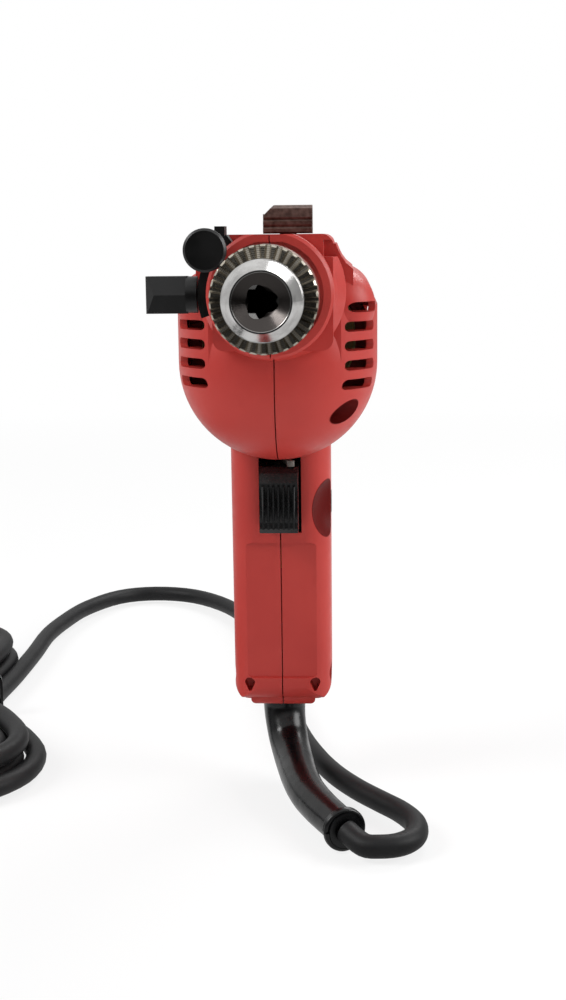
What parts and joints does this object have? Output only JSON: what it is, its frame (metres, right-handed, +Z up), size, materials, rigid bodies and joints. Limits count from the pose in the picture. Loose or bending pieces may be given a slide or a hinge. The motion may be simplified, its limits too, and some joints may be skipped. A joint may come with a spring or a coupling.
{
  "type": "electric drill",
  "caption": "Corded pistol-grip drill with keyed chuck, split red housing, depth stop, mode selector, trigger and mains lead with plug.",
  "frame": {"origin": "centre of the round collar behind the chuck, on the spindle axis", "axes": "-Y along the spindle towards the chuck's nose, +Z up with the grip hanging down, +X to the operator's left"},
  "size_m": [0.3213, 0.4341, 0.2295],
  "materials": {
    "red_plastic": "satin moulded plastic",
    "black_plastic": "satin moulded plastic",
    "grey_plastic": "moulded plastic",
    "olive_plastic": "moulded fan",
    "steel": "turned steel",
    "chrome": "bright plated",
    "iron": "stacked sheets",
    "copper": "enamelled wire and bars",
    "brass": "plain",
    "carbon": "pressed carbon",
    "film": "cast resin",
    "rubber": "soft rubber"
  },
  "bodies": {
    "housing": {"housing_left": "red_plastic", "housing_right": "red_plastic", "housing_screws": "steel", "spindle_bearing": "steel", "spindle_bush": "brass", "motor_bearings": "steel", "field_core": "iron", "field_coils": "copper", "brush_holders": "brass", "carbon_brushes": "carbon", "ratchet_ring": "steel", "trigger_switch": "black_plastic", "capacitor": "film", "cord_clamp": "black_plastic", "stop_bracket": "black_plastic", "bend_protector": "rubber", "cord": "rubber", "cord_hank": "rubber", "cord_tail": "rubber", "hank_tie": "black_plastic", "plug_body": "rubber", "plug_pins": "brass"},
    "spindle": {"spindle": "steel", "drive_gear": "steel", "spindle_ratchet": "steel", "chuck_body": "steel"},
    "sleeve": {"chuck_sleeve": "steel", "chuck_nut": "steel"},
    "jaw_1": {"chuck_jaw_1": "steel"},
    "jaw_2": {"chuck_jaw_2": "steel"},
    "jaw_3": {"chuck_jaw_3": "steel"},
    "armature": {"armature_shaft": "steel", "armature_core": "iron", "commutator": "copper", "fan": "olive_plastic"},
    "selector": {"mode_selector": "chrome"},
    "trigger": {"trigger": "black_plastic"},
    "lever": {"reverse_lever": "grey_plastic"},
    "lock": {"lock_button": "black_plastic"},
    "stop_rod": {"depth_rod": "black_plastic", "rod_pad": "black_plastic"},
    "wing": {"wing_screw": "black_plastic"}
  },
  "joints": [
    {"name": "armature_spin", "type": "hinge", "parent": "housing", "child": "armature", "pos_m": [0, 0.06, -0.0184], "axis": [0, 1, 0], "continuous": true},
    {"name": "spindle_spin", "type": "hinge", "parent": "housing", "child": "spindle", "pos_m": [0, 0, 0], "axis": [0, 1, 0], "continuous": true},
    {"name": "sleeve_turn", "type": "hinge", "parent": "spindle", "child": "sleeve", "pos_m": [0, -0.04, 0], "axis": [0, 1, 0], "range_deg": [0, 3420]},
    {"name": "jaw_1_slide", "type": "slide", "parent": "spindle", "child": "jaw_1", "axis": [-0.2588, -0.9659, 0], "range_m": [0, 0.0152]},
    {"name": "jaw_2_slide", "type": "slide", "parent": "spindle", "child": "jaw_2", "axis": [0.1294, -0.9659, 0.2241], "range_m": [0, 0.0152]},
    {"name": "jaw_3_slide", "type": "slide", "parent": "spindle", "child": "jaw_3", "axis": [0.1294, -0.9659, -0.2241], "range_m": [0, 0.0152]},
    {"name": "selector_slide", "type": "slide", "parent": "housing", "child": "selector", "axis": [-1, 0, 0], "range_m": [0, 0.0086]},
    {"name": "trigger_pull", "type": "slide", "parent": "housing", "child": "trigger", "axis": [0, 1, 0], "range_m": [0, 0.006], "stiffness_N_per_m": 400, "springref_m": -0.004},
    {"name": "lever_turn", "type": "hinge", "parent": "housing", "child": "lever", "pos_m": [0, 0.062, -0.063], "axis": [0, 0, 1], "range_deg": [-26, 0]},
    {"name": "lock_press", "type": "slide", "parent": "housing", "child": "lock", "axis": [-1, 0, 0], "range_m": [0, 0.0025], "stiffness_N_per_m": 300, "springref_m": -0.002},
    {"name": "rod_slide", "type": "slide", "parent": "housing", "child": "stop_rod", "axis": [0, -1, 0], "range_m": [-0.0025, 0.08]},
    {"name": "wing_turn", "type": "hinge", "parent": "housing", "child": "wing", "pos_m": [-0.03, 0.001, 0], "axis": [1, 0, 0], "range_deg": [-180, 180]}
  ],
  "couplings": [
    {"joint": "spindle_spin", "follows": "armature_spin", "ratio": -0.15},
    {"joint": "jaw_1_slide", "follows": "sleeve_turn", "m_per_rad": 0.00025465},
    {"joint": "jaw_2_slide", "follows": "sleeve_turn", "m_per_rad": 0.00025465},
    {"joint": "jaw_3_slide", "follows": "sleeve_turn", "m_per_rad": 0.00025465}
  ]
}
